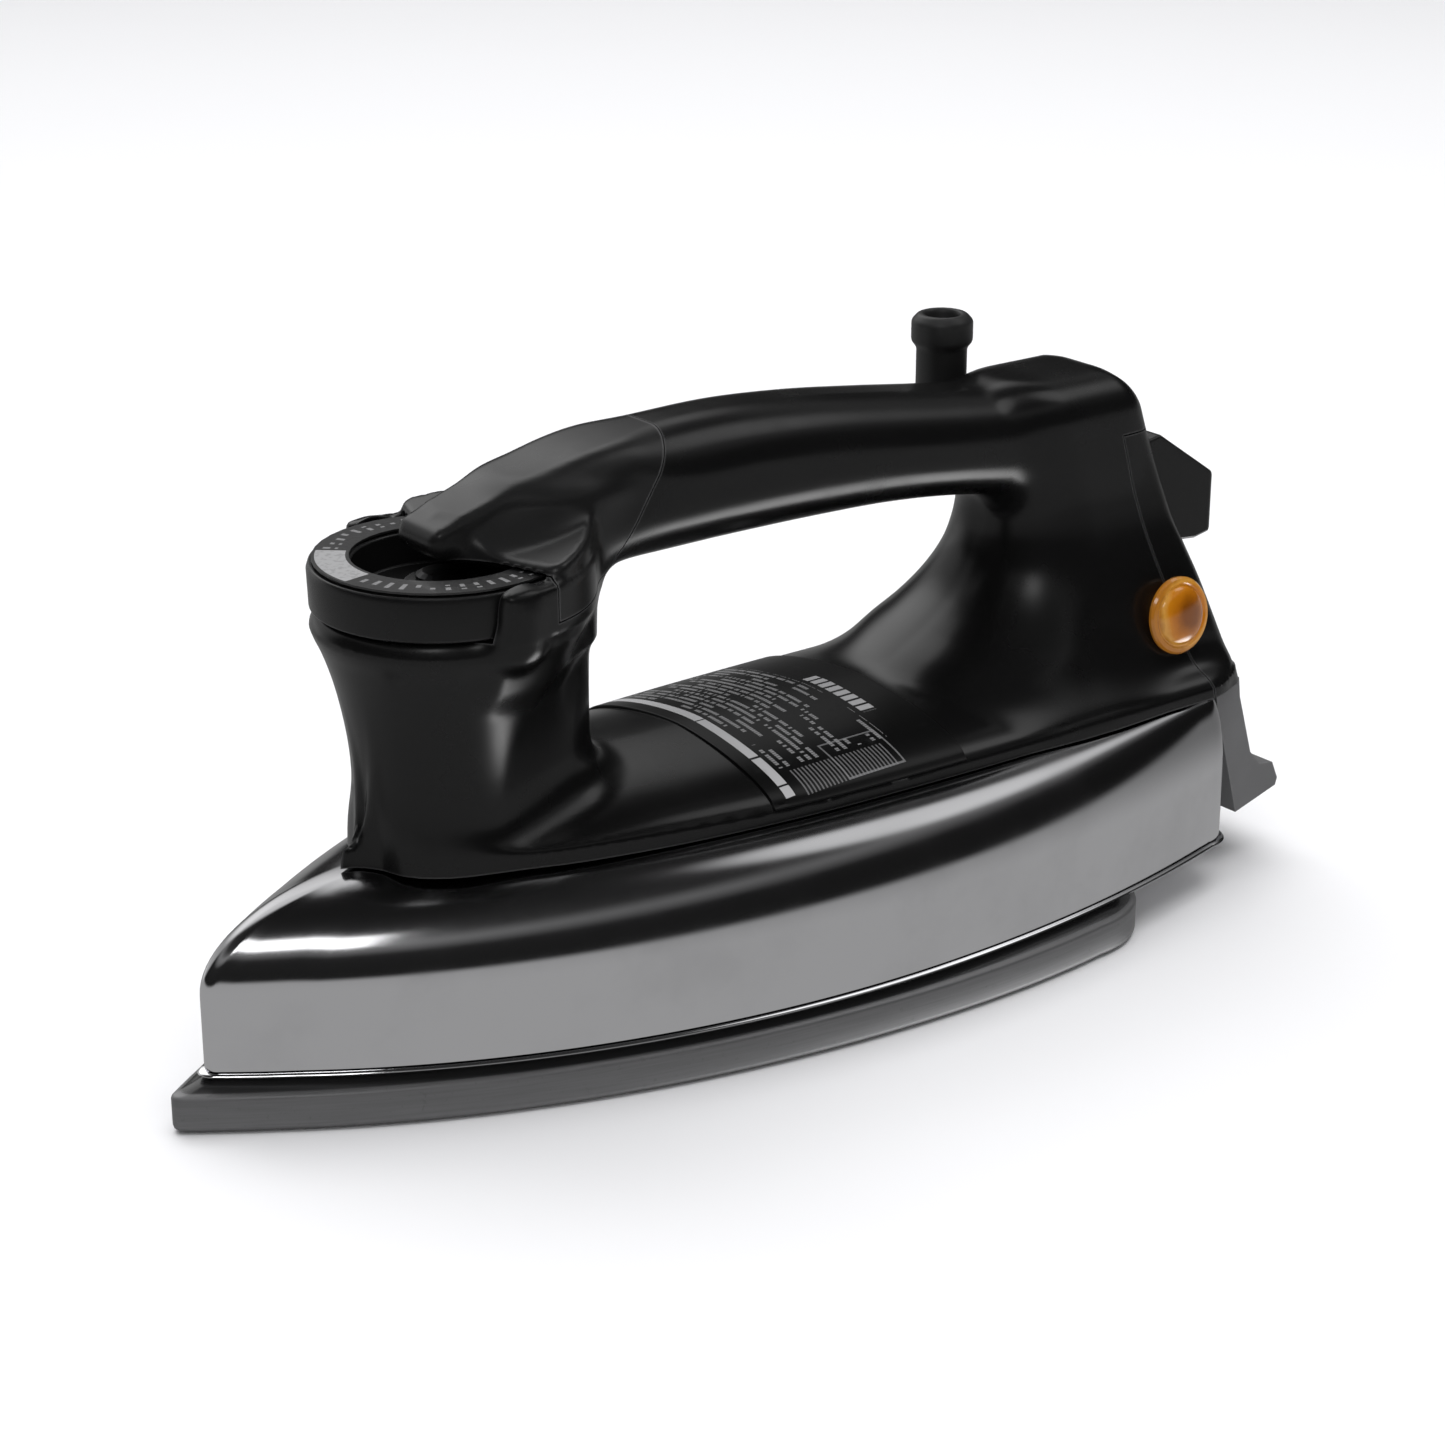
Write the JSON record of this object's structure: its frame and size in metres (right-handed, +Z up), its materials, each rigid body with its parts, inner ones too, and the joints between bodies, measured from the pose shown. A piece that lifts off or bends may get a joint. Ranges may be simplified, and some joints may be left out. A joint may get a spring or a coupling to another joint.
{
  "type": "clothes iron",
  "caption": "Heavyweight dry clothes iron with a chrome cover, black loop handle, front thermostat dial, rear pilot lamp, heel foot and upright cord guard.",
  "frame": {"origin": "centre of the footprint, on the ironing face", "axes": "+X from the pointed nose to the heel, +Y to the iron's right when seen from the heel towards the nose, +Z up"},
  "size_m": [0.2524, 0.098, 0.1182],
  "materials": {
    "cast_sole": "satin, fine machining on the side",
    "chrome_shell": "polished chrome plate",
    "chrome_rim": "polished chrome plate",
    "black_handle": "glossy black moulding",
    "black_cap": "glossy black moulding",
    "black_rear": "glossy black moulding",
    "black_dial": "glossy black moulding",
    "dial_marks": "printed scale",
    "grey_foot": "satin grey moulding",
    "label": "glossy printed plate",
    "guard_rubber": "soft black rubber",
    "steel": "plated steel",
    "brass": "drawn brass",
    "iron_weight": "rough casting",
    "mica_card": "layered mica",
    "white_insulator": "fired insulator",
    "amber_lens": "moulded amber lens",
    "lamp_glass": "clear lamp glass",
    "blue_sleeve": "woven sleeve",
    "brown_sleeve": "woven sleeve",
    "green_sleeve": "woven sleeve"
  },
  "bodies": {
    "iron": {"soleplate": "cast_sole", "heating_element": "mica_card", "element_tab_left": "brass", "element_tab_right": "brass", "insulation_sheet": "mica_card", "pressure_weight": "iron_weight", "rim_plate": "chrome_rim", "cover_shell": "chrome_shell", "front_stud": "steel", "rear_stud": "steel", "front_spacer": "steel", "rear_spacer": "steel", "front_nut": "steel", "rear_nut": "steel", "handle_body": "black_handle", "front_cap": "black_cap", "rear_cover": "black_rear", "heel_foot": "grey_foot", "rating_plate": "label", "cap_screw": "steel", "rear_cover_screw": "steel", "foot_screw_left": "steel", "foot_screw_right": "steel", "thermostat_base": "steel", "bimetal_strip": "brass", "fixed_contact": "brass", "lower_bead": "white_insulator", "upper_bead": "white_insulator", "stack_rivet": "steel", "pilot_lens": "amber_lens", "neon_lamp": "lamp_glass", "lamp_holder": "grey_foot", "terminal_block": "white_insulator", "terminal_screw_1": "brass", "terminal_screw_2": "brass", "terminal_screw_3": "brass", "cord_clamp": "grey_foot", "clamp_screw_left": "steel", "clamp_screw_right": "steel", "lead_neutral": "blue_sleeve", "lead_live": "brown_sleeve", "lead_earth": "green_sleeve"},
    "dial": {"dial_ring": "black_dial", "dial_scale": "dial_marks", "dial_spindle": "steel", "dial_screw": "steel"},
    "screw": {"adjusting_screw": "brass"},
    "leaf": {"moving_contact": "brass"},
    "guard": {"cord_guard": "guard_rubber"}
  },
  "joints": [
    {"name": "dial_turn", "type": "hinge", "parent": "iron", "child": "dial", "pos_m": [-0.06625, 0, 0.0923], "axis": [0, 0, 1], "range_deg": [0, 270]},
    {"name": "screw_travel", "type": "slide", "parent": "iron", "child": "screw", "axis": [0, 0, -1], "range_m": [0, 0.00075]},
    {"name": "leaf_flex", "type": "hinge", "parent": "iron", "child": "leaf", "pos_m": [-0.09025, 0, 0.0347], "axis": [0, 1, 0], "range_deg": [0, 1.5]},
    {"name": "guard_swing", "type": "hinge", "parent": "iron", "child": "guard", "pos_m": [0.06575, 0.0165, 0.0927], "axis": [0, 1, 0], "range_deg": [-10, 10]}
  ],
  "couplings": [
    {"joint": "screw_travel", "follows": "dial_turn", "m_per_rad": 0.00015915},
    {"joint": "leaf_flex", "follows": "dial_turn", "ratio": 0.0055556}
  ]
}
